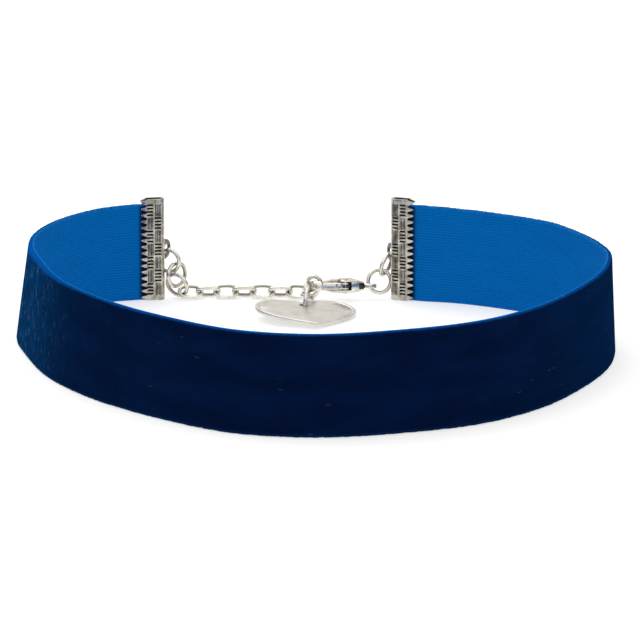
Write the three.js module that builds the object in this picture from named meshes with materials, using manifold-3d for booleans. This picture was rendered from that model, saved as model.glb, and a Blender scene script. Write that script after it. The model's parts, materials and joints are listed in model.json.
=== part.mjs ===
// A velvet choker necklace that stands on its lower edge, with its front towards -Y.
// A woven velvet ribbon is held at both ends in toothed metal ends. Behind the neck these are
// joined by jump rings, an extension chain and a lobster clasp. A small heart tag hangs on the
// chain's last link and lies on the table. Millimetres, +Z up.
import * as THREE from "three";
import { mergeVertices } from "three/addons/utils/BufferGeometryUtils.js";
import Module from "manifold-3d";

const wasm = await Module();
wasm.setup();

// The loop of ribbon
const loopWidth = 112.6;
const loopDepth = 100;
const ribbonHeight = 19;
const ribbonThickness = 1.2;
const crushedThickness = 0.8;
const ribbonChamfer = 0.25;
const ribbonSteps = 96;

// The toothed ribbon ends
const leftEndFromMiddle = 29.1;
const endHeight = 20;
const endLength = 4.6;
const sheetThickness = 0.5;
const ribbonClearance = 0.15;
const biteClearance = 0.1;
const ridgeRise = 0.15;
const toothCount = 16;
const toothDepth = 0.85;
const leftEndTurn = 10;
const rightEndTurn = 17;
const tabTurn = 35;
const tabLength = 2.75;
const tabHeight = 4;
const leftTabMiddle = 9.6;
const rightTabMiddle = 8.9;
const tabHole = 1.8;
const tabHoleFromRoot = 1.3;

// Round wire: jump rings and chain links
const ringOutside = 5.3;
const linkLength = 5.1;
const linkWidth = 3.4;
const ringWire = 0.8;
const linkWire = 0.75;
const linkSlack = 0.11;
const linkPitch = linkLength - 2 * linkWire - linkSlack;
const wireSides = 6;
const roundSides = 16;

// The lobster clasp
const claspLength = 12.9;
const claspWidth = 4.6;
const claspThickness = 2;
const housingThickness = 3.1;
const hookThickness = 1.1;
const eyeOutside = 2.8;
const eyeHole = 1.5;
const eyeThickness = 0.9;
const leverThickness = 1.3;
const leverWidth = 0.9;
const leverGap = 0.2;
const pinDiameter = 0.7;
const pinClearance = 0.06;
const claspBevel = 0.25;

// The heart tag
const tagWidth = 19.6;
const tagLength = 14.6;
const tagThickness = 0.8;
const tagHole = 1.7;
const tagRim = 0.85;
const tagBevel = 0.15;
const tagRoll = 3.69;
const tagPitch = 4.65;
const tagTurn = 13.85;

const deg = THREE.MathUtils.degToRad;
const silver = new THREE.MeshStandardMaterial({ color: 0xc9c7c3, metalness: 1, roughness: 0.25 });
const velvet = new THREE.MeshStandardMaterial({ color: 0x06163a, metalness: 0, roughness: 0.95 });

// A closed geometry as a solid that can be joined and cut, and back again.
function solidOf(geometry) {
  const plain = geometry.clone();
  plain.deleteAttribute("normal");
  plain.deleteAttribute("uv");
  const merged = mergeVertices(plain, 1e-4);
  return new wasm.Manifold(
    new wasm.Mesh({
      numProp: 3,
      vertProperties: new Float32Array(merged.attributes.position.array),
      triVerts: new Uint32Array(merged.index.array),
    }),
  );
}

function geometryOf(solid) {
  const mesh = solid.getMesh();
  const geometry = new THREE.BufferGeometry();
  geometry.setAttribute("position", new THREE.BufferAttribute(new Float32Array(mesh.vertProperties), 3));
  geometry.setIndex(new THREE.BufferAttribute(new Uint32Array(mesh.triVerts), 1));
  geometry.computeVertexNormals();
  return geometry;
}

// Rings of points joined into a closed skin: round and round, or capped at both ends.
function skinOf(rings, closed) {
  const count = rings.length;
  const sides = rings[0].length;
  const positions = rings.flat().flatMap((point) => [point.x, point.y, point.z]);
  const faces = [];
  for (let i = 0; i < (closed ? count : count - 1); i++) {
    for (let j = 0; j < sides; j++) {
      const a = i * sides + j;
      const b = ((i + 1) % count) * sides + j;
      const c = ((i + 1) % count) * sides + ((j + 1) % sides);
      const d = i * sides + ((j + 1) % sides);
      faces.push(a, b, c, a, c, d);
    }
  }
  const last = (count - 1) * sides;
  for (let j = 1; j < sides - 1 && !closed; j++) {
    faces.push(0, j, j + 1);
    faces.push(last, last + j + 1, last + j);
  }
  const geometry = new THREE.BufferGeometry();
  geometry.setAttribute("position", new THREE.Float32BufferAttribute(positions, 3));
  geometry.setIndex(faces);
  geometry.computeVertexNormals();
  return geometry;
}

// Where each metal end stands: its fold faces the gap, and its mouth faces the ribbon. The
// fastening between them is built up from the left one: its rings, the straight chain, the clasp
// beside the chain's end, and the rings that join the clasp to the right one. Each step is in
// shares of a ring's or link's length.
const shifted = (place, at, unit) => place.clone().addScaledVector(new THREE.Vector3(...at), unit);
const leftFold = new THREE.Vector3(-leftEndFromMiddle, loopDepth / 2, 0);
const chainStart = shifted(leftFold, [0.92453, 0.03774, 0.25472], ringOutside);
const chainEnd = chainStart.clone().add(new THREE.Vector3(6 * linkPitch, 0, 0));
const claspNose = shifted(chainEnd, [0.45294, -0.31373, 0.30392], linkLength);
const claspTurn = new THREE.Euler(deg(168), deg(2), deg(7), "ZYX");
const claspEnd = new THREE.Vector3(claspLength, 0, 0).applyEuler(claspTurn).add(claspNose);
const rightFold = shifted(claspEnd, [0.51961, -0.03229, 0], ringOutside).setZ(0);
const leftOut = new THREE.Vector3(-Math.cos(deg(leftEndTurn)), -Math.sin(deg(leftEndTurn)), 0);
const rightOut = new THREE.Vector3(Math.cos(deg(rightEndTurn)), -Math.sin(deg(rightEndTurn)), 0);

// The ribbon's foot between the metal ends, seen from above: shares of half the loop's width and
// of half its depth, and how many degrees the ribbon leans inwards there.
const route = [
  { across: -0.755, back: 0.926, lean: 3.5 },
  { across: -0.893, back: 0.772, lean: 5 },
  { across: -0.982, back: 0.572, lean: 6.5 },
  { across: -1, back: 0.36, lean: 6.5 },
  { across: -0.957, back: 0.12, lean: 6 },
  { across: -0.869, back: -0.192, lean: 5 },
  { across: -0.714, back: -0.484, lean: 4.5 },
  { across: -0.503, back: -0.74, lean: 4 },
  { across: -0.258, back: -0.94, lean: 4 },
  { across: 0.009, back: -0.998, lean: 3.5 },
  { across: 0.284, back: -0.936, lean: 4 },
  { across: 0.533, back: -0.812, lean: 4 },
  { across: 0.728, back: -0.6, lean: 3.5 },
  { across: 0.874, back: -0.32, lean: 3.3 },
  { across: 0.97, back: -0.04, lean: 3.3 },
  { across: 0.998, back: 0.226, lean: 3.3 },
  { across: 0.966, back: 0.39, lean: 3.5 },
  { across: 0.908, back: 0.548, lean: 3.5 },
  { across: 0.803, back: 0.718, lean: 3 },
  { across: 0.639, back: 0.846, lean: 3 },
  { across: 0.48, back: 0.932, lean: 2.5 },
];

// The ribbon: a thin strip on edge, crushed where the metal ends bite it.
function ribbonGeometry() {
  const stops = [-0.772 * endLength, -0.348 * endLength, 0.087 * endLength, 0.391 * endLength];
  const fromEnd = (fold, out, stop) => fold.clone().addScaledVector(out, endLength + stop);
  const feet = [
    ...stops.map((stop) => ({ foot: fromEnd(leftFold, leftOut, stop), lean: 0, shut: stop < 0.2 * endLength ? 1 : 0 })),
    ...route.map((row) => ({
      foot: new THREE.Vector3((row.across * loopWidth) / 2, (row.back * loopDepth) / 2, 0),
      lean: row.lean,
      shut: 0,
    })),
    ...[...stops]
      .reverse()
      .map((stop) => ({ foot: fromEnd(rightFold, rightOut, stop), lean: 0, shut: stop < 0.2 * endLength ? 1 : 0 })),
  ];
  const path = new THREE.CatmullRomCurve3(feet.map((row) => row.foot), false, "centripetal");
  const count = feet.length - 1;
  const marks = [0, 1, 2, 3];
  const body = ribbonSteps - 2 * marks.length;
  for (let k = 1; k < body; k++) marks.push(3 + ((count - 6) * k) / body);
  marks.push(count - 3, count - 2, count - 1, count);
  const rings = marks.map((mark) => {
    const i = Math.min(Math.floor(mark), count - 1);
    const share = mark - i;
    const foot = path.getPoint(mark / count);
    const along = path.getTangent(mark / count);
    const inwards = new THREE.Vector3(-along.y, along.x, 0).normalize();
    const lean = deg(feet[i].lean * (1 - share) + feet[i + 1].lean * share);
    const shut = feet[i].shut * (1 - share) + feet[i + 1].shut * share;
    const half = (ribbonThickness + (crushedThickness - ribbonThickness) * shut) / 2;
    const c = ribbonChamfer;
    // Each corner: how far inwards from the middle, and how high.
    const corners = [
      [half, ribbonHeight - c],
      [half, c],
      [half - c, 0],
      [c - half, 0],
      [-half, c],
      [-half, ribbonHeight - c],
      [c - half, ribbonHeight],
      [half - c, ribbonHeight],
    ];
    return corners.map(([side, height]) =>
      foot
        .clone()
        .addScaledVector(inwards, side + height * Math.sin(lean))
        .add(new THREE.Vector3(0, 0, height * Math.cos(lean))),
    );
  });
  return skinOf(rings, false);
}

// A folded ribbon end: x runs to the gap with the fold's tip at 0, y is outwards, z is up.
function ribbonEndGeometry(tabMiddle) {
  const inner = crushedThickness / 2 + ribbonClearance;
  const outer = inner + sheetThickness;
  const biteInner = crushedThickness / 2 + biteClearance;
  const biteOuter = biteInner + 0.6 * sheetThickness;
  const outerSide = [
    [-endLength, biteOuter],
    [-0.83 * endLength, outer],
    [-0.63 * endLength, outer],
    [-0.55 * endLength, outer + ridgeRise],
    [-0.47 * endLength, outer],
  ];
  const innerSide = [
    [-endLength, biteInner],
    [-0.83 * endLength, inner],
    [-0.63 * endLength, inner],
    [-0.55 * endLength, inner + ridgeRise],
    [-0.47 * endLength, inner],
  ];
  const arc = (radius) =>
    Array.from({ length: 9 }, (_, k) => {
      const turn = Math.PI / 2 - (Math.PI * k) / 8;
      return [-outer + radius * Math.cos(turn), radius * Math.sin(turn)];
    });
  const mirrored = (rows) => rows.map(([x, y]) => [x, -y]).reverse();
  const outline = [
    ...outerSide,
    ...arc(outer),
    ...mirrored(outerSide),
    ...innerSide.map(([x, y]) => [x, -y]),
    ...arc(inner).reverse(),
    ...[...innerSide].reverse(),
  ];
  const profile = new THREE.Shape(outline.map(([x, y]) => new THREE.Vector2(x, y)));
  const sheet = solidOf(new THREE.ExtrudeGeometry(profile, { depth: endHeight, bevelEnabled: false }));

  // The teeth: a saw-edged cutter across both leaves
  const pitch = endHeight / toothCount;
  const past = 2 * toothDepth;
  const saw = [new THREE.Vector2(-endLength - past, -past)];
  for (let k = 0; k < toothCount; k++) {
    saw.push(new THREE.Vector2(-endLength + toothDepth, k * pitch));
    saw.push(new THREE.Vector2(-endLength - 0.18 * toothDepth, (k + 0.5) * pitch));
  }
  saw.push(new THREE.Vector2(-endLength + toothDepth, endHeight));
  saw.push(new THREE.Vector2(-endLength - past, endHeight + past));
  const cutter = new THREE.ExtrudeGeometry(new THREE.Shape(saw), { depth: 4 * outer, bevelEnabled: false });
  cutter.rotateX(Math.PI / 2);
  cutter.translate(0, 2 * outer, 0);

  // The half-round tab, with a hole for a jump ring
  const half = tabHeight / 2;
  const plate = new THREE.Shape();
  plate.moveTo(0, -half);
  plate.bezierCurveTo(tabLength * 0.75, -half, tabLength, -half * 0.62, tabLength, 0);
  plate.bezierCurveTo(tabLength, half * 0.62, tabLength * 0.75, half, 0, half);
  plate.holes.push(new THREE.Path().absarc(tabHoleFromRoot, 0, tabHole / 2, 0, 2 * Math.PI, true));
  const tab = new THREE.ExtrudeGeometry(plate, { depth: sheetThickness, bevelEnabled: false, curveSegments: 6 });
  tab.translate(0, 0, -sheetThickness / 2);
  tab.rotateX(Math.PI / 2);
  tab.rotateZ(deg(tabTurn));
  tab.translate(-0.7 * sheetThickness, 0.96 * sheetThickness, tabMiddle);
  return geometryOf(sheet.subtract(solidOf(cutter)).add(solidOf(tab)));
}

// A closed loop of round wire in the XY plane, long along X.
function wireLoop(length, width, wire) {
  const radius = (width - wire) / 2;
  const straight = (length - width) / 2;
  const rings = [];
  for (let i = 0; i < roundSides; i++) {
    const a = ((i + 0.5) * 2 * Math.PI) / roundSides;
    const out = new THREE.Vector3(Math.cos(a), Math.sin(a), 0);
    const middle = out.clone().multiplyScalar(radius);
    middle.x += straight * Math.sign(out.x);
    rings.push(
      Array.from({ length: wireSides }, (_, j) => {
        const b = ((j + 0.5) * 2 * Math.PI) / wireSides;
        return middle
          .clone()
          .addScaledVector(out, (wire / 2) * Math.cos(b))
          .add(new THREE.Vector3(0, 0, (wire / 2) * Math.sin(b)));
      }),
    );
  }
  return skinOf(rings, true);
}

// A flat outline as a plate with softened edges, its middle at z = 0.
function plateOf(shape, thickness, bevel, curveSegments) {
  const geometry = new THREE.ExtrudeGeometry(shape, {
    depth: thickness - 2 * bevel,
    bevelEnabled: true,
    bevelThickness: bevel,
    bevelSize: bevel,
    bevelOffset: -bevel,
    bevelSegments: 1,
    curveSegments,
  });
  geometry.translate(0, 0, bevel - thickness / 2);
  return geometry;
}

function bar(x0, x1, y0, y1, thickness) {
  const box = new THREE.BoxGeometry(x1 - x0, y1 - y0, thickness);
  box.translate((x0 + x1) / 2, (y0 + y1) / 2, 0);
  return solidOf(box);
}

function disc(x, y, diameter, thickness, sides) {
  const round = new THREE.CylinderGeometry(diameter / 2, diameter / 2, thickness, sides);
  round.rotateX(Math.PI / 2);
  round.translate(x, y, 0);
  return solidOf(round);
}

// The clasp lies in XY: nose at x = 0, eye at the far end, its lever on the +Y side.
const gateInner = 0.261 * claspWidth;
const pivotX = 0.5116 * claspLength;
const pivotY = gateInner + 0.022 * claspWidth;
const housingFront = 0.4341 * claspLength;
const housingTop = gateInner + leverWidth;
const noseReach = hookThickness + 1.13 * linkWire;
const eyeX = claspLength - eyeOutside / 2;

// The body swells from its thin hook to the housing of the lever, and narrows to the eye.
function swollen(plate) {
  const at = plate.getAttribute("position");
  const { smoothstep } = THREE.MathUtils;
  for (let i = 0; i < at.count; i += 1) {
    const share = at.getX(i) / claspLength;
    const swell = smoothstep(share, 0.16, 0.38) * (1 - smoothstep(share, 0.58, 0.8));
    at.setZ(i, at.getZ(i) * (1 + (housingThickness / claspThickness - 1) * swell));
  }
  return plate;
}

function claspBodyGeometry() {
  const low = -claspWidth / 2;
  const armInner = low + hookThickness;
  const neck = eyeX - 0.43 * eyeOutside;
  const neckHalf = 0.25 * eyeOutside;
  const l = claspLength;
  const w = claspWidth;
  const body = new THREE.Shape();
  body.moveTo(noseReach, gateInner);
  body.lineTo(noseReach, housingTop);
  body.bezierCurveTo(0.07 * l, 0.5 * w, 0, 0.326 * w, 0, 0);
  body.bezierCurveTo(0, -0.326 * w, 0.078 * l, low, 0.287 * l, low);
  body.bezierCurveTo(0.496 * l, low, 0.636 * l, -0.326 * w, neck, -neckHalf);
  body.lineTo(neck, neckHalf);
  body.bezierCurveTo(0.698 * l, 0.283 * w, 0.605 * l, housingTop, 0.496 * l, housingTop);
  body.lineTo(housingFront, housingTop);
  body.lineTo(housingFront, 0.022 * w);
  body.bezierCurveTo(housingFront, -0.174 * w, 0.372 * l, armInner, 0.295 * l, armInner);
  body.lineTo(0.186 * l, armInner);
  body.bezierCurveTo(0.124 * l, armInner, hookThickness, -0.152 * w, hookThickness, 0);
  body.bezierCurveTo(hookThickness, 0.152 * w, 0.1085 * l, gateInner, noseReach, gateInner);
  const slotWidth = leverThickness + 2 * leverGap;
  return geometryOf(
    solidOf(swollen(plateOf(body, claspThickness, claspBevel, 5)))
      .add(disc(eyeX, 0, eyeOutside, eyeThickness, 20))
      .subtract(disc(eyeX, 0, eyeHole, 2 * housingThickness, 16))
      .subtract(bar(housingFront - leverGap, 0.76 * l, 0.0435 * w, 0.65 * w, slotWidth))
      .subtract(disc(pivotX, pivotY, pinDiameter + 2 * pinClearance, 2 * housingThickness, 16)),
  );
}

function claspLeverGeometry() {
  const tip = noseReach + leverGap;
  const arm = new THREE.Shape();
  arm.moveTo(tip, gateInner);
  const thumbTop = housingTop + 0.78 * leverWidth;
  arm.lineTo(pivotX, gateInner - 0.667 * leverWidth);
  arm.lineTo(pivotX, housingTop);
  arm.lineTo(0.4574 * claspLength, housingTop + 0.11 * leverWidth);
  arm.bezierCurveTo(0.4496 * claspLength, thumbTop, 0.3798 * claspLength, thumbTop, 0.3566 * claspLength, housingTop);
  arm.lineTo(tip, housingTop);
  return geometryOf(
    solidOf(plateOf(arm, leverThickness, 0.4 * claspBevel, 4))
      .add(disc(pivotX, pivotY, 2.286 * pinDiameter, leverThickness, 16))
      .subtract(disc(pivotX, pivotY, pinDiameter + 2 * pinClearance, 2 * leverThickness, 16)),
  );
}

function claspPinGeometry() {
  const pin = new THREE.CylinderGeometry(pinDiameter / 2, pinDiameter / 2, 0.95 * housingThickness, 12);
  pin.rotateX(Math.PI / 2);
  pin.translate(pivotX, pivotY, 0);
  return pin;
}

// The heart tag lies in XY with its point at the origin, its lobes towards +Y, resting on z = 0.
function heartTagGeometry() {
  const w = tagWidth / 2;
  const l = tagLength;
  const notch = 0.885 * l;
  const heart = new THREE.Shape();
  heart.moveTo(0, 0);
  heart.bezierCurveTo(0.45 * w, 0.18 * l, w, 0.42 * l, w, 0.7 * l);
  heart.bezierCurveTo(w, 0.89 * l, 0.78 * w, l, 0.5 * w, l);
  heart.bezierCurveTo(0.25 * w, l, 0.06 * w, 0.96 * l, 0, notch);
  heart.bezierCurveTo(-0.06 * w, 0.96 * l, -0.25 * w, l, -0.5 * w, l);
  heart.bezierCurveTo(-0.78 * w, l, -w, 0.89 * l, -w, 0.7 * l);
  heart.bezierCurveTo(-w, 0.42 * l, -0.45 * w, 0.18 * l, 0, 0);
  const hole = disc(0, notch - tagRim - tagHole / 2, tagHole, 5 * tagThickness, 16);
  const plate = geometryOf(solidOf(plateOf(heart, tagThickness, tagBevel, 9)).subtract(hole));
  plate.translate(0, 0, tagThickness / 2);
  return plate;
}

// Where each loop of wire lies: its middle from one of three places, and its roll, pitch and yaw
// in degrees. An upright link is turned a quarter round its own flat side first.
const places = {
  leftEnd: { at: leftFold, unit: ringOutside },
  chainEnd: { at: chainEnd, unit: linkLength },
  claspEnd: { at: claspEnd, unit: ringOutside },
};
const loops = [
  { name: "tab_ring_left", kind: "ring", from: "leftEnd", at: [0.14151, 0.26415, 1.35283], turn: [93.01, 2.29, -24.86] },
  { name: "middle_ring", kind: "ring", from: "leftEnd", at: [0.43585, 0.20943, 0.84528], turn: [86.23, -1.13, 44.84] },
  { name: "chain_ring", kind: "ring", from: "leftEnd", at: [0.45094, 0.03208, 0.50943], turn: [104.43, -2.82, -32.98] },
  { name: "chain_link_01", kind: "link", from: "leftEnd", at: [0.9434, -0.01509, 0.25283], turn: [39.6, 1.33, 3.15] },
  { name: "chain_link_07", kind: "link", from: "chainEnd", at: [-0.02667, -0.15157, 0.03137], turn: [43.81, -0.56, -20.65] },
  { name: "chain_link_08", kind: "upright", from: "chainEnd", at: [0.51961, -0.27373, 0.24941], turn: [92.9, 23.42, -5.79] },
  { name: "chain_link_09", kind: "link", from: "chainEnd", at: [0.39412, -1.0349, 0.30451], turn: [120.09, 40.54, -84.51] },
  { name: "chain_link_10", kind: "link", from: "chainEnd", at: [0.38294, -1.5102, 0.31137], turn: [-14.43, 7.02, 89.28] },
  { name: "tag_ring", kind: "ring", from: "chainEnd", at: [0.2702, -2.14333, 0.24157], turn: [99.9, 20.28, 90.32] },
  { name: "clasp_ring", kind: "ring", from: "claspEnd", at: [0.09339, 0.08695, 0.15589], turn: [77.33, -9.82, 15.2] },
  { name: "tab_ring_right", kind: "ring", from: "claspEnd", at: [0.34565, 0.21714, 0.75966], turn: [106.26, 12.62, 68.25] },
];
// Between them the chain lies straight, each link leaning the other way from the last.
for (let i = 1; i <= 5; i++) {
  loops.push({
    name: `chain_link_0${i + 1}`,
    kind: "link",
    from: "chainEnd",
    at: [((i - 6) * linkPitch) / linkLength, 0, 0],
    turn: [i % 2 ? -45 : 45, 0, 0],
  });
}

const wireGeometry = {
  ring: wireLoop(ringOutside, ringOutside, ringWire),
  link: wireLoop(linkLength, linkWidth, linkWire),
  upright: wireLoop(linkLength, linkWidth, linkWire).rotateZ(Math.PI / 2),
};

function mesh(name, geometry, material) {
  const made = new THREE.Mesh(geometry, material);
  made.name = name;
  return made;
}

const necklace = new THREE.Group();
necklace.add(mesh("velvet_ribbon", ribbonGeometry(), velvet));

const leftEnd = mesh("ribbon_end_left", ribbonEndGeometry(leftTabMiddle), silver);
leftEnd.position.copy(leftFold);
leftEnd.rotation.z = deg(leftEndTurn);
const rightEnd = mesh("ribbon_end_right", ribbonEndGeometry(rightTabMiddle), silver);
rightEnd.position.copy(rightFold);
rightEnd.scale.x = -1;
rightEnd.rotation.z = -deg(rightEndTurn);
necklace.add(leftEnd, rightEnd);

const fastening = new THREE.Group();
for (const row of loops) {
  const wire = mesh(row.name, wireGeometry[row.kind], silver);
  const { at, unit } = places[row.from];
  wire.position.copy(shifted(at, row.at, unit));
  wire.rotation.set(...row.turn.map(deg), "ZYX");
  fastening.add(wire);
}

const clasp = new THREE.Group();
clasp.position.copy(claspNose);
clasp.rotation.copy(claspTurn);
clasp.add(mesh("clasp_body", claspBodyGeometry(), silver));
clasp.add(mesh("clasp_lever", claspLeverGeometry(), silver));
clasp.add(mesh("clasp_pin", claspPinGeometry(), silver));
fastening.add(clasp);

// The tag lies tilted, right lobe and tip low, and its ring props up the rest.
const tag = mesh("heart_tag", heartTagGeometry(), silver);
tag.position.copy(shifted(chainEnd, [0.69804, -4.64569, -0.18157], linkLength));
tag.rotation.set(deg(tagRoll), deg(tagPitch), deg(tagTurn), "ZYX");
fastening.add(tag);
necklace.add(fastening);

// The whole necklace stands on z = 0 with its bounding box centred on the Z axis.
necklace.updateMatrixWorld(true);
const box = new THREE.Box3().setFromObject(necklace, true);
for (const child of necklace.children) {
  child.position.x -= (box.min.x + box.max.x) / 2;
  child.position.y -= (box.min.y + box.max.y) / 2;
}

export default necklace;
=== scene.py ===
# A velvet choker that stands on its lower edge, with its fastening at the back.
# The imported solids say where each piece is. Every piece here is made over its solid in millimetres.
import json
import math
import bmesh
import bpy
import numpy as np
from mathutils import Matrix, Vector


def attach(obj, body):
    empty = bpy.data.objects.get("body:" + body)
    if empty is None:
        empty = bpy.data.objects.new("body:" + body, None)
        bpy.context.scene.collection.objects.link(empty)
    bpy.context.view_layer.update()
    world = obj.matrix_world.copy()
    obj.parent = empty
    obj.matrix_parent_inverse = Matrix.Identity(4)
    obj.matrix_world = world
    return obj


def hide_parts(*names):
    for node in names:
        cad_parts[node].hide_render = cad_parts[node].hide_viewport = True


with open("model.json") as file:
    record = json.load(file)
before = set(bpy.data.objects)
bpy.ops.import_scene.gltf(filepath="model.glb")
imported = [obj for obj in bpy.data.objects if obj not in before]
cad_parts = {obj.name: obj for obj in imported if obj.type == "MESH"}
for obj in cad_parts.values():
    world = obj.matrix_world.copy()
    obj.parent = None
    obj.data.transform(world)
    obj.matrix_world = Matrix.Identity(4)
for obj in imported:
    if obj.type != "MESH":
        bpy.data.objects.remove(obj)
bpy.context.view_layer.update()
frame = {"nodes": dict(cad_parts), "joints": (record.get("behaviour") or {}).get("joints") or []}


# The table: a plain white sheet that runs far out on all sides, under a broad soft light in a
# pale room. It is looked down on at 15 degrees from the front.
MM = 0.001


class Shade:
    """A socket of a finish. Sums on it add Math nodes, and add() makes any other node."""

    def __init__(self, tree, socket=None):
        self.tree = tree
        self.socket = socket

    def add(self, kind, settings=None, inputs=None, output=0):
        node = self.tree.nodes.new(kind)
        for name, value in (settings or {}).items():
            if name == "stops":
                ramp = node.color_ramp
                while len(ramp.elements) < len(value):
                    ramp.elements.new(0.5)
                for element, (place, colour) in zip(ramp.elements, value):
                    element.position = place
                    element.color = (*colour, 1)
            else:
                setattr(node, name, value)
        for name, value in (inputs or {}).items():
            if isinstance(value, Shade):
                self.tree.links.new(value.socket, node.inputs[name])
            else:
                node.inputs[name].default_value = value
        return Shade(self.tree, node.outputs[output] if node.outputs else None)

    def math(self, operation, *values):
        return self.add("ShaderNodeMath", {"operation": operation}, dict(enumerate(values)))

    def __add__(self, other):
        return self.math("ADD", self, other)

    def __sub__(self, other):
        return self.math("SUBTRACT", self, other)

    def __mul__(self, other):
        return self.math("MULTIPLY", self, other)

    def __truediv__(self, other):
        return self.math("DIVIDE", self, other)

    def __rsub__(self, other):
        return self.math("SUBTRACT", other, self)

    __radd__ = __add__
    __rmul__ = __mul__

    def over(self, low, high):
        """0 where this is at or below low, 1 at or above high, and smooth between."""
        inputs = {0: self, 1: low, 2: high}
        return self.add("ShaderNodeMapRange", {"interpolation_type": "SMOOTHSTEP"}, inputs)

    def blend(self, dark, light):
        """The colour dark where this is 0 and light where it is 1."""
        dark = dark if isinstance(dark, Shade) else (*dark, 1)
        light = light if isinstance(light, Shade) else (*light, 1)
        return self.add("ShaderNodeMix", {"data_type": "RGBA"}, {0: self, 6: dark, 7: light}, 2)

    def part(self, axis):
        """The X, Y or Z of a vector."""
        return self.add("ShaderNodeSeparateXYZ", None, {0: self}, axis)

    def placed(self, stretch, turn=0.0, shift=0.0):
        """A place multiplied by stretch, turned about z and shifted along x and y alike."""
        inputs = {"Vector": self, "Scale": stretch, "Rotation": (0, 0, turn), "Location": (shift, shift, 0)}
        return self.add("ShaderNodeMapping", None, inputs)

    def grain(self, where, scale, detail=2.0, stretch=(1, 1, 1)):
        """Noise, with its places multiplied by stretch."""
        inputs = {"Vector": where.placed(stretch), "Scale": scale, "Detail": detail}
        return self.add("ShaderNodeTexNoise", None, inputs)


def open_finish(name):
    material = bpy.data.materials.new(name)
    material.use_nodes = True
    material.node_tree.nodes.clear()
    return material, Shade(material.node_tree)


def close_finish(shade, inputs, height=None, depth_mm=0.0):
    """The surface of a finish, with bumps depth_mm deep where a height is given."""
    if height is not None:
        bump = {"Height": height, "Strength": 1.0, "Distance": depth_mm * MM}
        inputs["Normal"] = shade.add("ShaderNodeBump", None, bump)
    surface = shade.add("ShaderNodeBsdfPrincipled", None, inputs)
    shade.add("ShaderNodeOutputMaterial", None, {"Surface": surface})


table_finish, shade = open_finish("table_white")
close_finish(
    shade,
    {
        "Base Color": (0.62, 0.62, 0.62, 1),
        "Roughness": 0.9,
        "Specular IOR Level": 0.0,
        "Emission Color": (1, 1, 1, 1),
        "Emission Strength": 0.5,
    },
)
# The sheet's near, far and side edges in metres, and how far it lies under the pieces' feet
table_near, table_far, table_side = -8, 30, 8
table_drop = 0.04
table_mesh = bpy.data.meshes.new("table_top")
table_corners = [
    (-table_side, table_near, 0), (table_side, table_near, 0),
    (table_side, table_far, 0), (-table_side, table_far, 0),
]
table_mesh.from_pydata(table_corners, [], [(0, 1, 2, 3)])
table_mesh.materials.append(table_finish)
table_top = bpy.data.objects.new("table_top", table_mesh)
table_top.location.z = -table_drop * MM
bpy.context.collection.objects.link(table_top)

# The room is white overhead, and dim low down behind and at both sides, where the metal mirrors it
world = bpy.data.worlds.new("pale_room")
bpy.context.scene.world = world
world.use_nodes = True
world.node_tree.nodes.clear()
sky = Shade(world.node_tree)
aim = sky.add("ShaderNodeTexCoord")
low = 1 - aim.part("Z").over(0.02, 0.62)
sideways = sky.math("ABSOLUTE", aim.part("X")).over(0.4, 0.9)
behind = aim.part("Y").over(-0.75, 0.35)
walls = (low * (behind * 0.5 + sideways * 0.42)).blend((1.0, 1.0, 1.0), (0.1, 0.085, 0.06))
lit = sky.add("ShaderNodeBackground", None, {"Color": walls, "Strength": 1.0})
sky.add("ShaderNodeOutputWorld", None, {"Surface": lit})

lamp_data = bpy.data.lights.new("soft_light", "SUN")
lamp_data.energy = 0.8
lamp_data.angle = math.radians(50)
lamp = bpy.data.objects.new("soft_light", lamp_data)
lamp.rotation_euler = (math.radians(-28), math.radians(-18), 0)
bpy.context.collection.objects.link(lamp)

# The camera stands view_away from the loop's centre, and looks a little right of it and above
view_rise = math.radians(15)
view_away = 1400
loop_centre = Vector((0.079, 2.463, 0))
look_right, look_above = 0.842, 7.484
view_up = Vector((0, math.sin(view_rise), math.cos(view_rise)))
view_back = Vector((0, -math.cos(view_rise), math.sin(view_rise)))
look = Vector((look_right, 0, 0)) + look_above * view_up - view_away * view_back
camera_data = bpy.data.cameras.new("photo_camera")
camera_data.lens = 420.9
camera_data.sensor_width = 36
camera_data.clip_start = 0.05
camera_data.clip_end = 60
camera = bpy.data.objects.new("photo_camera", camera_data)
camera.location = (loop_centre + view_away * view_back) * MM
camera.rotation_mode = "QUATERNION"
camera.rotation_quaternion = look.to_track_quat("-Z", "Y")
bpy.context.collection.objects.link(camera)
bpy.context.scene.camera = camera
bpy.context.scene.view_settings.view_transform = "Standard"


# The ribbon: 19 mm velvet ribbon, with a dense dark blue pile outside, a ribbed and brighter woven
# back inside, and a narrow woven selvedge along both edges. The metal ends crush it where they bite.
ribbon_wide = 19.0
ribbon_thick = 1.15
crushed_thick = 0.74
loop_half = Vector((56.3, 50.0))
loop_middle = Vector((0.0789, -1.637))
left_fold, left_turn = Vector((-29.0211, 48.363)), 10
right_fold, right_turn = Vector((14.6789, 48.363)), 17
end_length = 4.6
# Places along the ribbon, out from each metal end's mouth. Those under crushed_to are crushed
from_fold = 1.05
mouth_stops = [from_fold - end_length, -1.6, 0.4, 1.8]
crushed_to = 1.0
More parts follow.
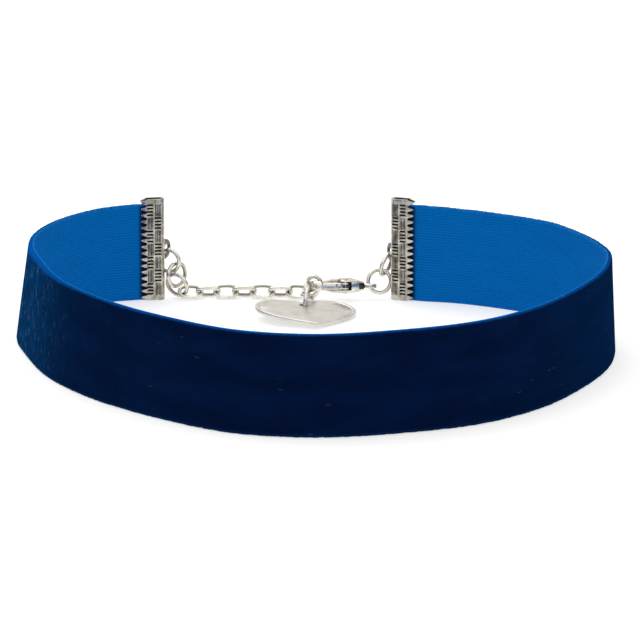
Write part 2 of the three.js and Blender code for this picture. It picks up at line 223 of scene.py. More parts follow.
# Shares of half the loop's width and depth, and the inward lean in degrees
ribbon_route = [
    (-0.755, 0.926, 3.5), (-0.891, 0.772, 5.5), (-0.977, 0.572, 7.4), (-0.994, 0.36, 7.6),
    (-0.953, 0.12, 6.8), (-0.868, -0.192, 5.3), (-0.714, -0.484, 4.5), (-0.503, -0.74, 4),
    (-0.258, -0.94, 4), (0.009, -0.998, 3.5), (0.284, -0.936, 4), (0.533, -0.812, 4),
    (0.728, -0.6, 3.4), (0.871, -0.32, 2.9), (0.963, -0.04, 2.4), (0.99, 0.226, 2.4),
    (0.961, 0.39, 2.9), (0.903, 0.548, 3.4), (0.801, 0.718, 3), (0.639, 0.846, 3),
    (0.48, 0.932, 2.5),
]


def ribbon_stops():
    """The ribbon's foot from one metal end to the other: x, y, lean and how far it is crushed."""
    rows = []
    for fold, turn, side in ((left_fold, left_turn, -1), (right_fold, right_turn, 1)):
        out = Vector((side * math.cos(math.radians(turn)), -math.sin(math.radians(turn))))
        found = [
            (*(fold + out * (end_length + stop)), 0, 1 if stop < crushed_to else 0)
            for stop in mouth_stops
        ]
        rows.append(found if side < 0 else found[::-1])
    middle = [
        (x * loop_half.x + loop_middle.x, y * loop_half.y + loop_middle.y, lean, 0)
        for x, y, lean in ribbon_route
    ]
    return np.array(rows[0] + middle + rows[1])


def on_route(points, t):
    """A smooth curve through all points, taken at t points from the first."""
    n = len(points)
    i = min(int(t), n - 2)
    w = t - i
    before = points[i - 1] if i > 0 else 2 * points[0] - points[1]
    after = points[i + 2] if i + 2 < n else 2 * points[-1] - points[-2]
    a, b = points[i], points[i + 1]
    d0, d1, d2 = (math.sqrt(np.linalg.norm(q - p)) for p, q in ((before, a), (a, b), (b, after)))
    out = ((a - before) / d0 - (b - before) / (d0 + d1) + (b - a) / d1) * d1
    into = ((b - a) / d1 - (after - a) / (d1 + d2) + (after - b) / d2) * d1
    return (
        (2 * w**3 - 3 * w**2 + 1) * a
        + (w**3 - 2 * w**2 + w) * out
        + (3 * w**2 - 2 * w**3) * b
        + (w**3 - w**2) * into
    )


def new_piece(name, points, faces, finishes, of_face=None, sharp=40):
    """A mesh from points in millimetres, smooth but for edges bent by more than sharp degrees."""
    mesh = bpy.data.meshes.new(name)
    mesh.from_pydata([tuple(float(c) * MM for c in p) for p in points], [], faces)
    for finish in finishes:
        mesh.materials.append(finish)
    if of_face is not None:
        mesh.polygons.foreach_set("material_index", of_face)
    piece = bpy.data.objects.new(name, mesh)
    bpy.context.collection.objects.link(piece)
    soften(piece, sharp)
    return piece


def soften(piece, sharp):
    """All faces smooth, with the edges bent by more than sharp degrees kept sharp."""
    shape = bmesh.new()
    shape.from_mesh(piece.data)
    for face in shape.faces:
        face.smooth = True
    for edge in shape.edges:
        edge.smooth = len(edge.link_faces) == 2 and edge.calc_face_angle(0) < math.radians(sharp)
    shape.to_mesh(piece.data)
    shape.free()


def lattice(rings, closed):
    """Quads between rings of equal length. The last ring joins the first, or else both are capped."""
    count, sides = len(rings), len(rings[0])
    faces = []
    for i in range(count if closed else count - 1):
        near, far = i * sides, (i + 1) % count * sides
        for j in range(sides):
            k = (j + 1) % sides
            faces.append((near + j, far + j, far + k, near + k))
    if not closed:
        faces.append(tuple(range(sides)))
        faces.append(tuple(range((count - 1) * sides, count * sides))[::-1])
    return faces


stops = ribbon_stops()
last_stop, per_end = len(stops) - 1, len(mouth_stops)
marks = [
    *np.linspace(0, per_end, 40)[:-1],
    *np.linspace(per_end, last_stop - per_end, 620),
    *np.linspace(last_stop - per_end, last_stop, 40)[1:],
]
way = np.array([on_route(stops[:, :2], mark) for mark in marks])
lengths = np.concatenate(([0.0], np.cumsum(np.linalg.norm(np.diff(way, axis=0), axis=1))))
run = float(lengths[-1])

pile_finish, shade = open_finish("velvet_pile")
flat = shade.add("ShaderNodeUVMap", {"uv_map": "flat_mm"})
run_on, rise_up = flat.part("X"), flat.part("Y")
near_left = run_on.over(32, 42) * (1 - run_on.over(50, 86))
near_right = run_on.over(238, 262) * (1 - run_on.over(296, 306))
# The pile lies this way and that, and is scuffed near the left end. Both ends are also painted lighter there, as
# painted sheen where the ribbon turns away
lay = shade.grain(flat, 0.16, 3.0, (0.5, 1.6, 1)).over(0.35, 0.68)
nap = shade.grain(flat, 2.6, 3.0).over(0.3, 0.75)
scuff_and_sheen = shade.grain(flat, 0.42, 5.0, (1.2, 0.55, 1)).over(0.5, 0.72)
colour = lay.blend((0.001, 0.0042, 0.022), (0.0014, 0.0068, 0.035))
colour = (nap * 0.35).blend(colour, (0.0014, 0.011, 0.052))
# The left end is painted lighter blue: real scuffs, laid over a painted sheen where the ribbon turns away
colour = (near_left * (scuff_and_sheen * 0.6 + 0.3)).blend(colour, (0.002, 0.055, 0.17))
askew = flat.placed((1.0, 0.5, 1), 0.6)
streaks = shade.grain(askew, 1.15, 5.0).over(0.54, 0.68) * shade.grain(flat, 0.22, 2.0).over(0.32, 0.6)
colour = (near_left * streaks * 0.6).blend(colour, (0.065, 0.155, 0.32))
rubbed = shade.grain(flat, 0.9, 4.0).over(0.5, 0.66) * near_left * (1 - scuff_and_sheen)
colour = (rubbed * 0.5).blend(colour, (0.002, 0.014, 0.05))
# The right end is painted a little lighter: scuffs and a faint painted sheen
colour = (near_right * scuff_and_sheen * 0.3).blend(colour, (0.003, 0.018, 0.06))
# Lint: long thin cells that lie in three directions, of which one in eight or so is pale
for turn_by, shift in ((1.3, 3.1), (-1.2, 17.7), (1.8, 41.3)):
    cells = {"Vector": flat.placed((0.22, 1.5, 1), turn_by, shift), "Scale": 0.62}
    fibre = shade.add("ShaderNodeTexVoronoi", {"feature": "F1"}, cells)
    chance = shade.add("ShaderNodeTexVoronoi", {"feature": "F1"}, cells, "Color")
    chosen = shade.add("ShaderNodeSeparateColor", None, {0: chance}).over(0.86, 0.9)
    colour = ((1 - fibre.over(0.03, 0.11)) * chosen * 0.26).blend(colour, (0.08, 0.12, 0.19))
# Painted highlight: the pile's rolled upper edge is painted brighter blue, as if it catches the light, wider at
# the left end, and the foot has a faint painted highlight too
painted_top_sheen_wide = near_left * 0.8 + near_right * 0.25 + 0.42 + shade.grain(flat, 0.35, 2.0) * 0.25
painted_top_sheen = 1 - ((ribbon_wide - rise_up) / painted_top_sheen_wide).over(0.35, 1.5)
colour = (painted_top_sheen * (near_left * 0.3 + 0.6)).blend(colour, (0.001, 0.085, 0.37))
painted_foot_sheen = 1 - rise_up.over(0.05, 0.4)
colour = (painted_foot_sheen * 0.16).blend(colour, (0.002, 0.05, 0.18))
fuzz = shade.grain(flat, 5.0, 2.0)
close_finish(
    shade,
    {
        "Base Color": colour,
        "Roughness": 1.0,
        "Specular IOR Level": 0.0,
        "Sheen Weight": 0.13,
        "Sheen Roughness": 0.4,
        "Sheen Tint": (0.01, 0.2, 0.62, 1),
    },
    fuzz + nap * 0.6,
    0.12,
)

rib_pitch, pick_pitch = 0.52, 0.5
# How far the painted shadow of the metal ends reaches along the back, from full to none
shadow_full_to, shadow_gone_at = 3.3, 4.3

back_finish, shade = open_finish("ribbon_back")
flat = shade.add("ShaderNodeUVMap", {"uv_map": "flat_mm"})
along, across = flat.part("X"), flat.part("Y")
rib = shade.math("SINE", across * (2 * math.pi / rib_pitch)) * 0.5 + 0.5
thread = shade.grain(flat, 1.0, 2.0, (3.2, 7.0, 1))
wear = shade.grain(flat, 0.3, 4.0, (0.4, 1.2, 1)).over(0.3, 0.75)
tint = rib.blend((0.0, 0.103, 0.365), (0.001, 0.146, 0.465))
tint = (wear * 0.35).blend(tint, (0.001, 0.15, 0.5))
tint = (thread.over(0.5, 0.8) * 0.25).blend(tint, (0.012, 0.21, 0.6))
tint = ((1 - thread.over(0.25, 0.5)) * 0.3).blend(tint, (0.0, 0.06, 0.26))
painted_end_shadow = (1 - along.over(shadow_full_to, shadow_gone_at)) + along.over(run - shadow_gone_at, run - shadow_full_to)
# The back is painted near black there, as the metal ends' painted shadow
tint = (painted_end_shadow * 0.92).blend(tint, (0.004, 0.005, 0.012))
close_finish(
    shade,
    {"Base Color": tint, "Roughness": 0.8, "Specular IOR Level": 0.02},
    rib + thread * 0.6,
    0.07,
)

selvedge_finish, shade = open_finish("ribbon_selvedge")
flat = shade.add("ShaderNodeUVMap", {"uv_map": "flat_mm"})
pick = shade.math("SINE", flat.part("X") * (2 * math.pi / pick_pitch)) * 0.5 + 0.5
edge_tint = pick.blend((0.002, 0.13, 0.44), (0.006, 0.2, 0.6))
edge_tint = shade.grain(flat, 1.2, 2.0).over(0.35, 0.7).blend(edge_tint, (0.002, 0.1, 0.38))
close_finish(shade, {"Base Color": edge_tint, "Roughness": 0.8, "Specular IOR Level": 0.02}, pick, 0.08)

# The section: side is 1 at the woven back and -1 at the pile's tips, rise is from the nearer edge,
# and the third number says which finish it has
pile, back, selvedge = 0, 1, 2
half_section = [(1.0, rise, back) for rise in (7.0, 4.6, 2.6, 1.4, 0.8, 0.55, 0.42)]
half_section += [(side, rise, selvedge) for side, rise in ((0.98, 0.3), (0.86, 0.12), (0.66, 0.02), (0.42, 0.0))]
half_section += [
    (side, rise, pile)
    for side, rise in (
        (0.26, 0.08), (0.1, 0.12), (-0.2, 0.05), (-0.55, 0.09), (-0.85, 0.3),
        (-1.0, 0.62), (-1.02, 1.2), (-1.0, 2.4), (-1.0, 4.6), (-1.0, 7.0),
    )
]
section = half_section + [(side, ribbon_wide - rise, kind) for side, rise, kind in half_section[::-1]]
sides = len(section)

# How far the ribbon bows in and out, smoothed over wobble_span marks, and how far its edge frays
wobble_deep, wobble_span, wobble_lag = 0.25, 25, 0.4
frayed_deep, frayed_to = 0.06, 0.5
rng = np.random.default_rng(11)
wobble = rng.normal(0, 1, len(marks) + wobble_span - 1)
wobble = np.convolve(wobble, np.ones(wobble_span) / wobble_span, "valid")
rings = []
for n, mark in enumerate(marks):
    i = min(int(mark), last_stop - 1)
    share = mark - i
    lean = math.radians(stops[i, 2] * (1 - share) + stops[i + 1, 2] * share)
    shut = stops[i, 3] * (1 - share) + stops[i + 1, 3] * share
    ahead = on_route(stops[:, :2], min(mark + 0.01, last_stop))
    ahead = ahead - on_route(stops[:, :2], max(mark - 0.01, 0))
    ahead /= np.linalg.norm(ahead)
    inwards = Vector((-ahead[1], ahead[0], 0))
    half = (ribbon_thick + (crushed_thick - ribbon_thick) * shut) / 2
    loose = (1 - shut) * wobble[n] * wobble_deep
    ring = []
    for side, height, kind in section:
        bow = loose * math.sin(math.pi * height / ribbon_wide + wobble_lag)
        frayed = 0.0
        if kind == pile and min(height, ribbon_wide - height) < frayed_to:
            frayed = (1 - shut) * frayed_deep * rng.uniform(-1, 1)
        place = Vector((*way[n], 0)) + inwards * (side * half + bow + height * math.sin(lean))
        ring.append(place + Vector((0, 0, max(0.01, height * math.cos(lean) + frayed))))
    rings.append(ring)
kinds = []
for j in range(sides):
    pair = (section[j][2], section[(j + 1) % sides][2])
    kinds.append(selvedge if selvedge in pair else pair[0])
of_face = kinds * (len(rings) - 1) + [back, back]
ribbon_points = [point for ring in rings for point in ring]
ribbon_finishes = [pile_finish, back_finish, selvedge_finish]
ribbon = new_piece("velvet_ribbon_cloth", ribbon_points, lattice(rings, False), ribbon_finishes, of_face, 80)
laid = ribbon.data.uv_layers.new(name="flat_mm")
for loop in ribbon.data.loops:
    ring, spot = divmod(loop.vertex_index, sides)
    laid.data[loop.index].uv = (lengths[ring], section[spot][1] + section[spot][0] * 0.4)
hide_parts("velvet_ribbon")
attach(ribbon, "necklace")


# The ribbon ends: a strip of thin plated sheet, stamped with small blocks of grooves, folded
# over the ribbon's end and pressed shut on it with a row of teeth. A half-round tab has the hole.
end_tall = 20.0
sheet_thick = 0.5
outer_half = 1.05
tooth_count = 16
tooth_deep = 1.1
lip_from = -3.3
ribbon_room = 0.5
edge_round, edge_over = 0.1, 0.12
# The folded sheet's outside, as places from the fold and half its height there
end_profile = [
    (-4.6, 0.78), (-3.95, 1.0), (-3.4, 1.08), (-3.1, 1.05),
    (-1.9, 1.05), (-1.73, 1.13), (-1.56, 1.05), (-1.05, 1.05),
]
# The stamp has two columns of blocks. Each column says whether its odd blocks hold the dashes, and
# where it starts, is full, starts to fade and stops
stamp_deep = 0.13
stamp_foot, stamp_top, block_tall = 1.0, 19.2, 2.6
stamp_columns = [(1, -1.62, -1.54, -0.34, -0.24), (0, -3.08, -3.0, -1.94, -1.86)]
dash_pitch, dash_wide = 0.65, 0.38
hatch_pitch, hatch_wide, hatch_deep = 0.3, 0.16, 0.75
# The tab: half its outline below and half above, its hole, and how it stands at the fold
tab_outline = [
    ((0, -2.0), (2.06, -2.0), (2.75, -1.24), (2.75, 0)),
    ((2.75, 0), (2.75, 1.24), (2.06, 2.0), (0, 2.0)),
]
tab_hole_out, tab_hole_radius = 1.3, 0.9
tab_back, tab_aside, tab_turn = 0.35, 0.48, 50

metal_finish, shade = open_finish("stamped_plate")
spot = shade.add("ShaderNodeTexCoord", output="Object")
deep = shade.add("ShaderNodeAttribute", {"attribute_name": "groove"}, output="Fac")
cloudy = shade.grain(spot, 900, 3.0).over(0.35, 0.7)
hair = shade.grain(spot, 4000, 2.0)
# Darker in the stamped grooves, the deeper the darker
groove_dark = (deep * 0.9 + (1 - cloudy) * deep * 0.3).over(0.15, 0.75)
plate_colour = cloudy.blend((0.3, 0.27, 0.22), (0.62, 0.58, 0.5))
plate_colour = groove_dark.blend(plate_colour, (0.016, 0.012, 0.009))
close_finish(
    shade,
    {"Base Color": plate_colour, "Metallic": 1.0, "Roughness": cloudy * 0.1 + 0.2 + groove_dark * 0.3},
    hair,
    0.004,
)


def dull_metal(name, scale, dark, light, metallic, rough_spread, rough_low):
    """A metal finish with cloudy patches between two colours, rougher where it is lighter."""
    finish, shade = open_finish(name)
    spot = shade.add("ShaderNodeTexCoord", output="Object")
    cloudy = shade.grain(spot, scale, 3.0).over(0.35, 0.7)
    rough = cloudy * rough_spread + rough_low
    close_finish(shade, {"Base Color": cloudy.blend(dark, light), "Metallic": metallic, "Roughness": rough})
    return finish


dark_finish = dull_metal("tarnished_plate", 1400, (0.09, 0.08, 0.065), (0.22, 0.2, 0.17), 1.0, 0.12, 0.28)


def eased(x, low, high):
    """0 at or below low, 1 at or above high, and smooth between."""
    t = min(1.0, max(0.0, (x - low) / (high - low)))
    return t * t * (3 - 2 * t)


def line_between(x, pitch, wide):
    """1 in the middle of a groove and 0 on the land between grooves, a pitch apart."""
    off = abs((x / pitch) % 1 - 0.5) * pitch
    return 1 - eased(off, wide * 0.25, wide * 0.62)


def stamped(x, z):
    """How deep the stamp has gone at x from the fold and z up, from 0 to 1."""
    if not stamp_foot < z < stamp_top:
        return 0.0
    block, down_in = divmod(stamp_top - z, block_tall)
    frame_gap = eased(down_in, 0.06, 0.16) * (1 - eased(down_in, 2.46, 2.56))
    for dashed, start, full, fading, stop in stamp_columns:
        if start < x < stop:
            inside = eased(x, start, full) * (1 - eased(x, fading, stop))
            dashes = line_between(down_in, dash_pitch, dash_wide)
            hatch = line_between(x, hatch_pitch, hatch_wide) * hatch_deep
            return (dashes if block % 2 == dashed else hatch) * inside * frame_gap
    return 0.0


def profile_at(x):
    """Half the height of the folded sheet's outside at x, with its bends rounded."""
    xs, ys = zip(*end_profile)
    return sum(float(np.interp(x + k * 0.05, xs, ys)) for k in (-2, -1, 0, 1, 2)) / 5


def circle(x, y, radius, count=32):
    """Points round a circle, from its right."""
    angles = np.linspace(0, 2 * math.pi, count + 1)[:-1]
    return [(x + radius * math.cos(a), y + radius * math.sin(a)) for a in angles]


def ribbon_end(name, fold, turn, mirrored, tab_rise, stamp_off):
    """A ribbon end with its fold upright at fold, turned by turn degrees, and its tab tab_rise up."""
    leaf = list(np.linspace(-end_length, -outer_half, 50))
    arc = list(np.linspace(math.pi / 2, -math.pi / 2, 44))[1:-1]
    columns = [(x, 1, None) for x in leaf] + [(None, 0, a) for a in arc]
    columns += [(x, -1, None) for x in leaf[::-1]]
    rings, groove = [], []
    for z in np.linspace(0, end_tall, 201):
        from_tooth = abs(2 * ((z * tooth_count / end_tall) % 1) - 1)
        mouth = -end_length + eased(from_tooth, 0.12, 0.82) * tooth_deep
        edge = edge_round * (1 - eased(min(z, end_tall - z), 0, edge_over))
        outer, inner = [], []
        for x, side, a in columns:
            if a is None:
                if x < lip_from:
                    x = mouth + (x + end_length) / (end_length + lip_from) * (lip_from - mouth)
                half = profile_at(x)
                depth = stamped(x + stamp_off, z)
                outer.append((x, side * (half - stamp_deep * depth - edge), z, depth))
                inner.append((x, side * max(ribbon_room, half - sheet_thick), z, 0.0))
            else:
                depth = stamped(outer_half * (math.cos(a) - 1) + stamp_off, z)
                r = outer_half - edge - stamp_deep * depth
                outer.append((-outer_half + r * math.cos(a), r * math.sin(a), z, depth))
                r = outer_half - sheet_thick
                inner.append((-outer_half + r * math.cos(a), r * math.sin(a), z, 0.0))
        around = outer + inner[::-1]
        rings.append([(x, y, up) for x, y, up, _ in around])
        groove += [depth for _, _, _, depth in around]
    sides, top = len(rings[0]), (len(rings) - 1) * len(rings[0])
    faces = lattice(rings, True)[:top]
    for j in range(len(columns) - 1):
        k = sides - 1 - j
        faces.append((j, j + 1, k - 1, k))
        faces.append((top + j, top + k, top + k - 1, top + j + 1))
    points = [point for ring in rings for point in ring]
    piece = new_piece(name, points, faces, [metal_finish, dark_finish], None, 35)
    depth_layer = piece.data.attributes.new("groove", "FLOAT", "POINT")
    depth_layer.data.foreach_set("value", groove)
    hole = circle(tab_hole_out, 0, tab_hole_radius)
    tab = cast_plate(name + "_tab", [curve_points(tab_outline, 14), hole], sheet_thick, 0.1, dark_finish)
    tab.data.attributes.new("groove", "FLOAT", "POINT")
    stood = Matrix.Rotation(math.radians(tab_turn), 4, "Z") @ Matrix.Rotation(math.pi / 2, 4, "X")
    tab.data.transform(Matrix.Translation((-tab_back * MM, tab_aside * MM, tab_rise * MM)) @ stood)
    place = Matrix.Translation((fold.x * MM, fold.y * MM, 0)) @ Matrix.Rotation(math.radians(turn), 4, "Z")
    if mirrored:
        place = place @ Matrix.Diagonal((-1, 1, 1, 1))
    for made in (piece, tab):
        made.data.transform(place)
        if mirrored:
            made.data.flip_normals()
    joined(piece, tab)
    return piece


def curve_points(pieces, steps):
    """Points along lines and cubic curves joined end to end, each given by its two or four points."""
    found = []
    for piece in pieces:
        if len(piece) == 2:
            found.append(piece[0])
            continue
        a, b, c, d = (np.array(point, float) for point in piece)
        for k in range(steps):
            t = k / steps
            p = (1 - t) ** 3 * a + 3 * (1 - t) ** 2 * t * b + 3 * (1 - t) * t * t * c + t**3 * d
            found.append((float(p[0]), float(p[1])))
    found.append(pieces[-1][-1])
    return found


def cast_plate(name, outlines, thick, round_by, finish, steps=3):
    """A flat outline with holes, made into a plate with rounded edges, its middle at z = 0."""
    curve = bpy.data.curves.new(name, "CURVE")
    curve.dimensions = "2D"
    curve.fill_mode = "BOTH"
    curve.extrude = thick / 2 - round_by
    curve.bevel_depth = round_by
    curve.bevel_resolution = steps
    curve.offset = -round_by
    for outline in outlines:
        spline = curve.splines.new("POLY")
        spline.points.add(len(outline) - 1)
        for point, (x, y) in zip(spline.points, outline):
            point.co = (x, y, 0, 1)
        spline.use_cyclic_u = True
    made = bpy.data.objects.new(name + "_curve", curve)
    bpy.context.collection.objects.link(made)
    bpy.context.view_layer.update()
    mesh = bpy.data.meshes.new_from_object(made.evaluated_get(bpy.context.evaluated_depsgraph_get()))
    bpy.data.objects.remove(made)
    mesh.name = name
    shape = bmesh.new()
    shape.from_mesh(mesh)
    bmesh.ops.remove_doubles(shape, verts=shape.verts, dist=1e-4)
    bmesh.ops.recalc_face_normals(shape, faces=shape.faces)
    shape.to_mesh(mesh)
    shape.free()
    mesh.transform(Matrix.Scale(MM, 4))
    mesh.materials.clear()
    mesh.materials.append(finish)
    piece = bpy.data.objects.new(name, mesh)
    bpy.context.collection.objects.link(piece)
    soften(piece, 35)
    return piece


def joined(piece, other):
    """The other mesh becomes part of piece's mesh, with its finishes."""
    for finish in other.data.materials:
        if finish.name not in piece.data.materials:
            piece.data.materials.append(finish)
    slots = [piece.data.materials.find(finish.name) for finish in other.data.materials]
    other.data.polygons.foreach_set("material_index", [slots[p.material_index] for p in other.data.polygons])
    shape = bmesh.new()
    shape.from_mesh(piece.data)
    shape.from_mesh(other.data)
    bpy.data.objects.remove(other)
    shape.to_mesh(piece.data)
    shape.free()


for name, fold, turn, mirrored, tab_rise, stamp_off in (
    ("ribbon_end_left", left_fold, left_turn, False, 9.6, 0.45),
    ("ribbon_end_right", right_fold, -right_turn, True, 8.9, 0.1),
):
    end = ribbon_end(name + "_stamped", fold, turn, mirrored, tab_rise, stamp_off)
    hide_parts(name)
    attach(end, "necklace")


# The jump rings and chain: round plated wire. The jump rings are bent shut with a fine butt
# joint, and the oval links are soldered. Each lies where its solid lies.
ring_wide, ring_wire = 5.3, 0.8
link_long, link_wide, link_wire = 5.1, 3.4, 0.76
link_count = 10
# Which way from a ring's middle its joint lies, and half the joint's gap as a share of the way round
joint_lies = (0.35, 0.2, 0.9)
joint_half = 0.0035

bright_finish, shade = open_finish("bright_plate")
spot = shade.add("ShaderNodeTexCoord", output="Object")
inner_shade = shade.add("ShaderNodeAttribute", {"attribute_name": "tarnish"}, output="Fac")
cloudy = shade.grain(spot, 700, 3.0).over(0.3, 0.75)
scratch = shade.grain(spot, 3000, 2.0, (1, 0.25, 1))
bright = cloudy.blend((0.66, 0.62, 0.52), (0.9, 0.87, 0.79))
# Painted shade: the wire's side towards the ring's middle is painted dark brown
bright = (inner_shade * (0.6 + cloudy * 0.3)).blend(bright, (0.1, 0.085, 0.055))
close_finish(
    shade,
    {"Base Color": bright, "Metallic": 1.0, "Roughness": cloudy * 0.08 + inner_shade * 0.12 + 0.22},
    scratch,
    0.003,
)


def lie_of(node):
    """The middle of a CAD node's solid, its longest, middle and shortest directions, in millimetres."""
    found = np.array([v.co for v in frame["nodes"][node].data.vertices]) / MM
    found = np.unique(np.round(found, 4), axis=0)
    middle = found.mean(0)
    _, axes = np.linalg.eigh(np.cov((found - middle).T))
    long, wide = axes[:, 2], axes[:, 1]
    return middle, long, wide, np.cross(long, wide)


def turned_out(piece):
    """All of piece's faces turned outwards."""
    shape = bmesh.new()
    shape.from_mesh(piece.data)
    bmesh.ops.recalc_face_normals(shape, faces=shape.faces)
    shape.to_mesh(piece.data)
    shape.free()


def skinned(name, rings, closed, finish, sharp):
    """A piece over rings of points, which are closed to a loop or capped."""
    points = [point for ring in rings for point in ring]
    piece = new_piece(name, points, lattice(rings, closed), [finish], None, sharp)
    turned_out(piece)
    return piece


def wire_loop(node, length, width, wire, joint):
    """A ring or oval link in the place of its CAD node, with a butt joint or soldered."""
    middle, long, wide, normal = lie_of(node)
    if joint:
        wide = np.cross(normal, np.array(joint_lies))
        wide /= np.linalg.norm(wide)
        long = np.cross(wide, normal)
    radius, straight = (width - wire) / 2, (length - width) / 2
    stations, around = 72, 14
    rings = []
    for i in range(stations):
        share = joint_half + i / (stations - 1) * (1 - 2 * joint_half) if joint else i / stations
        a = share * 2 * math.pi
        out = long * math.cos(a) + wide * math.sin(a)
        drawn_out = math.sin(math.pi / 2 * max(-1.0, min(1.0, 1.5 * math.cos(a))))
        centre = middle + out * radius + long * straight * drawn_out
        tight = 0.9 if joint and i in (0, stations - 1) else 1.0
        ring = []
        for b in np.linspace(0, 2 * math.pi, around + 1)[:-1]:
            ring.append(centre + (out * math.cos(b) + normal * math.sin(b)) * wire / 2 * tight)
        rings.append(ring)
    piece = skinned(node + "_wire", rings, not joint, bright_finish, 50)
    # 1 on the wire's side towards the ring's middle, where the shade is painted
    inner_side = [eased(-math.cos(2 * math.pi * j / around), 0.15, 0.95) for j in range(around)]
    tarnish = piece.data.attributes.new("tarnish", "FLOAT", "POINT")
    tarnish.data.foreach_set("value", inner_side * stations)
    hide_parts(node)
    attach(piece, "necklace")


for node in ("tab_ring_left", "middle_ring", "chain_ring", "tab_ring_right", "clasp_ring", "tag_ring"):
    wire_loop(node, ring_wide, ring_wide, ring_wire, True)
for number in range(1, link_count + 1):
    wire_loop(f"chain_link_{number:02d}", link_long, link_wide, link_wire, False)


# The lobster clasp: a cast hook with a rounded back and an eye at its tail. A small sprung lever
# closes the hook and turns on a pin through the hook's two cheeks.
clasp_long = 12.9
clasp_thick = 1.95
housing_thick = 3.05
lever_thick = 1.28
eye_x, eye_radius, eye_hole, eye_thick = 11.5, 1.4, 0.75, 0.9
# Places in the clasp's own plane: x from its nose to its eye, y towards the lever's side
pivot_x, pivot_y = 6.6, 1.3
slot_outline = [(5.3, 0.2), (7.75, 0.2), (7.75, 3.2), (5.3, 3.2)]
pocket_outline = [(9.3, -0.35), (10.3, -0.2), (10.3, 3), (9.3, 3)]
groove_outline = [(6.0, 1.75), (7.5, 1.6), (7.5, 3), (6.0, 3)]
slot_wide, pocket_wide, groove_wide = 1.66, 1.2, 0.62
bore_radius, lever_bore_radius, pin_radius = 0.4, 0.41, 0.345
# The clasp lies as its solid does: the frame has its hinge, and this is its direction to the eye
hinge = frame["joints"][0]
rise = Vector(hinge["axis"]).normalized()
nose_to_eye = Vector((0.99194, 0.1218, -0.0349))
along = (nose_to_eye - rise * rise.dot(nose_to_eye)).normalized()
side = rise.cross(along)
turned = Matrix((along, side, rise)).transposed()
pivot_at = Vector((pivot_x, pivot_y, 0))
clasp_place = Matrix.Translation(Vector(hinge["pos_m"]) - turned @ pivot_at * MM) @ turned.to_4x4()

hook_outline = curve_points(
    [
        ((1.95, 1.2), (1.95, 2.05)),
        ((1.95, 2.05), (0.9, 2.3), (0, 1.5), (0, 0)),
        ((0, 0), (0, -1.5), (1, -2.3), (3.7, -2.3)),
        ((3.7, -2.3), (6.4, -2.3), (8.2, -1.5), (10.35, -0.62)),
        ((10.35, -0.62), (10.35, 0.62)),
        ((10.35, 0.62), (9, 1.3), (7.8, 2.08), (6.4, 2.08)),
        ((6.4, 2.08), (5.65, 2.05)),
        ((5.65, 2.05), (5.62, 0.1)),
        ((5.62, 0.1), (5.6, -0.8), (4.8, -1.2), (3.8, -1.2)),
        ((3.8, -1.2), (2.4, -1.2)),
        ((2.4, -1.2), (1.6, -1.2), (1.1, -0.7), (1.1, 0)),
        ((1.1, 0), (1.1, 0.7), (1.4, 1.15), (1.95, 1.2)),
    ],
    9,
)[:-1]



def cut(piece, tool, operation):
    """One boolean on piece's mesh, applied at once; the tool is used up."""
    step = piece.modifiers.new("cut", "BOOLEAN")
    step.operation = operation
    step.object = tool
    step.solver = "EXACT"
    step.material_mode = "TRANSFER"
    bpy.context.view_layer.update()
    made = bpy.data.meshes.new_from_object(piece.evaluated_get(bpy.context.evaluated_depsgraph_get()))
    piece.modifiers.clear()
    piece.data = made
    bpy.data.objects.remove(tool)
    return piece


def gridded(piece, xs, ys, zs):
    """The plate's faces are cut along lines of constant x, y and z, so that they can be bent."""
    shape = bmesh.new()
    shape.from_mesh(piece.data)
    for places, lies in ((xs, (1, 0, 0)), (ys, (0, 1, 0)), (zs, (0, 0, 1))):
        for place in places:
            everything = shape.verts[:] + shape.edges[:] + shape.faces[:]
            at = Vector(lies) * place * MM
            bmesh.ops.bisect_plane(shape, geom=everything, plane_co=at, plane_no=lies, dist=1e-7)
    shape.to_mesh(piece.data)
    shape.free()


def swell_at(x):
    """How far the clasp has swollen from hook to housing at x from its nose, from 0 to 1."""
    share = x / clasp_long
    return eased(share, 0.16, 0.38) * (1 - eased(share, 0.58, 0.8))


# Painted shade: the faces cut inside the slot, pocket, bore and lever groove get this near black finish
shaded_inside_finish = dull_metal("clasp_inside_shade", 1200, (0.04, 0.033, 0.022), (0.13, 0.11, 0.08), 0.8, 0.15, 0.3)


hook = cast_plate("clasp_hook", [hook_outline], clasp_thick, 0.42, bright_finish, 4)
gridded(hook, np.arange(0.5, 10.3, 0.35), np.arange(-2.05, 2.0, 0.34), (-0.36, -0.18, 0, 0.18, 0.36))
# The housing is thicker than the hook, and both are rounded over
for corner in hook.data.vertices:
    x, y = corner.co.x / MM, corner.co.y / MM
    middle = -0.1 - 0.05 * x if x > 5 else -0.35
    crown = 1 - 0.2 * swell_at(x) * min(1.0, ((y - middle) / 2.0) ** 2)
    corner.co.y *= 1 - 0.16 * (corner.co.z / MM / (clasp_thick / 2)) ** 2
    corner.co.z *= (1 + (housing_thick / clasp_thick - 1) * swell_at(x)) * crown
soften(hook, 45)
eye_outlines = [circle(eye_x, 0, eye_radius, 40), circle(eye_x, 0, eye_hole, 40)]
cut(hook, cast_plate("eye", eye_outlines, eye_thick, 0.26, bright_finish, 4), "UNION")
for opening, outline, deep in (
    ("slot", slot_outline, slot_wide),
    ("pocket", pocket_outline, pocket_wide),
    ("bore", circle(pivot_x, pivot_y, bore_radius, 24), 5),
):
    cut(hook, cast_plate(opening, [outline], deep, 0.02, shaded_inside_finish), "DIFFERENCE")
soften(hook, 45)

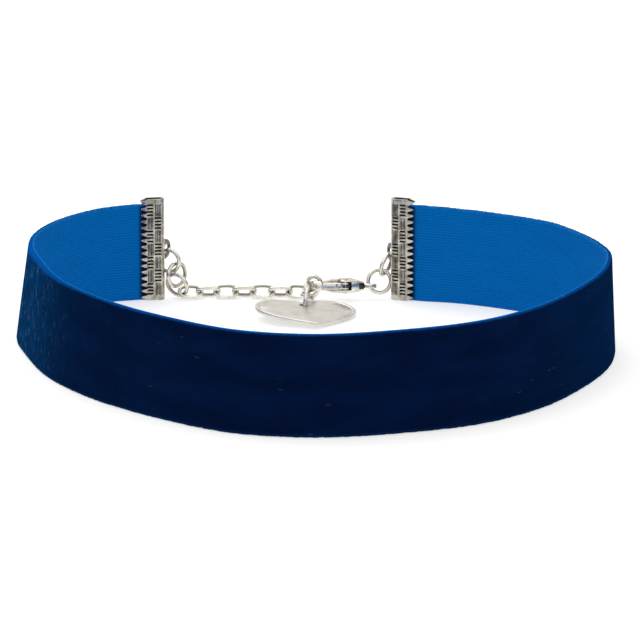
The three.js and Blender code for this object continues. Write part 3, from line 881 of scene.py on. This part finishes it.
lever_outline = curve_points(
    [
        ((2.15, 1.22), (5.0, 0.98)),
        ((5.0, 0.98), (5.8, 0.85)),
        ((5.8, 0.85), (6.0, 0.5), (7.1, 0.35), (7.38, 1.2)),
        ((7.38, 1.2), (7.4, 1.9), (6.9, 2.08), (6.4, 2.08)),
        ((6.4, 2.08), (5.95, 2.15)),
        ((5.95, 2.15), (5.85, 2.8), (4.9, 2.8), (4.6, 2.1)),
        ((4.6, 2.1), (2.15, 2.05)),
        ((2.15, 2.05), (2.15, 1.22)),
    ],
    8,
)[:-1]
lever_bore = circle(pivot_x, pivot_y, lever_bore_radius, 24)
lever = cast_plate("clasp_thumb_lever", [lever_outline, lever_bore], lever_thick, 0.2, bright_finish, 3)
cut(lever, cast_plate("groove", [groove_outline], groove_wide, 0.02, shaded_inside_finish), "DIFFERENCE")
soften(lever, 35)

pin_half = housing_thick / 2
pin_profile = [(0.2, -pin_half), (0.31, 0.05 - pin_half), (pin_radius, 0.14 - pin_half)]
pin_profile += [(r, -z) for r, z in pin_profile[::-1]]
pin_rings = [[(x, y, z) for x, y in circle(pivot_x, pivot_y, r, 24)] for r, z in pin_profile]
pin = skinned("clasp_rivet", pin_rings, False, bright_finish, 60)

for piece, node, body in (
    (hook, "clasp_body", "necklace"),
    (lever, "clasp_lever", "lever"),
    (pin, "clasp_pin", "necklace"),
):
    piece.data.transform(clasp_place)
    turned_out(piece)
    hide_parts(node)
    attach(piece, body)


# The heart tag: a small plain plate, stamped out, with a fine line engraved round its face and a
# hole under the notch, where its jump ring holds it. It lies a little tipped.
satin_finish, shade = open_finish("satin_plate")
spot = shade.add("ShaderNodeTexCoord", output="Object")
cloudy = shade.grain(spot, 260, 3.0).over(0.3, 0.75)
brushed = shade.grain(spot, 2600, 2.0, (0.08, 1.0, 1.0))
satin = cloudy.blend((0.6, 0.57, 0.51), (0.72, 0.69, 0.63))
satin = (brushed.over(0.35, 0.7) * 0.3).blend(satin, (0.82, 0.79, 0.73))
close_finish(
    shade,
    {"Base Color": satin, "Metallic": 1.0, "Roughness": brushed * 0.12 + 0.3},
    brushed,
    0.004,
)
heart_wide, heart_long, heart_thick = 19.6, 14.6, 0.8
heart_line_deep = 0.04
heart_notch = 0.885 * heart_long
hole_below_notch, heart_hole_radius = 1.7, 0.85
# Where the heart's tip lies, and its turns in degrees about z, y and x
heart_tip = Vector((0.379, 24.87, 0.424)) * MM
heart_turn, heart_tilt, heart_tip_up = 13.85, 4.65, 3.69
heart_place = (
    Matrix.Translation(heart_tip)
    @ Matrix.Rotation(math.radians(heart_turn), 4, "Z")
    @ Matrix.Rotation(math.radians(heart_tilt), 4, "Y")
    @ Matrix.Rotation(math.radians(heart_tip_up), 4, "X")
)
w, h = heart_wide / 2, heart_long
right_side = [
    ((0, 0), (0.5 * w, 0.17 * h), (w, 0.38 * h), (w, 0.65 * h)),
    ((w, 0.65 * h), (w, 0.86 * h), (0.78 * w, h), (0.5 * w, h)),
    ((0.5 * w, h), (0.25 * w, h), (0.06 * w, 0.96 * h), (0, heart_notch)),
]
right_points = curve_points(right_side, 22)
heart_outline = right_points + [(-x, y) for x, y in right_points[1:-1]][::-1]
heart_middle = np.array((0, 0.52 * h))
# How far the outline is drawn in, as a share, and how far under the face it is: up the edge, then
# over the face with its engraved line
heart_steps = [
    (0.985, heart_thick), (0.995, heart_thick - 0.03), (1.0, heart_thick - 0.1),
    (1.0, 0.12), (0.996, 0.05), (0.985, 0.01), (0.97, 0.0),
    (0.925, 0.0), (0.92, heart_line_deep), (0.913, heart_line_deep), (0.908, 0.0), (0.7, 0.0), (0.4, 0.0),
]
heart_rings = [
    [(*(heart_middle + (np.array(p) - heart_middle) * share), heart_thick - under) for p in heart_outline]
    for share, under in heart_steps
]
tag = skinned("heart_tag_plate", heart_rings, False, satin_finish, 40)
heart_hole = circle(0, heart_notch - hole_below_notch, heart_hole_radius)
cut(tag, cast_plate("drill", [heart_hole], 6, 0.02, satin_finish), "DIFFERENCE")
soften(tag, 40)
tag.data.transform(heart_place)
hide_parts("heart_tag")
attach(tag, "necklace")
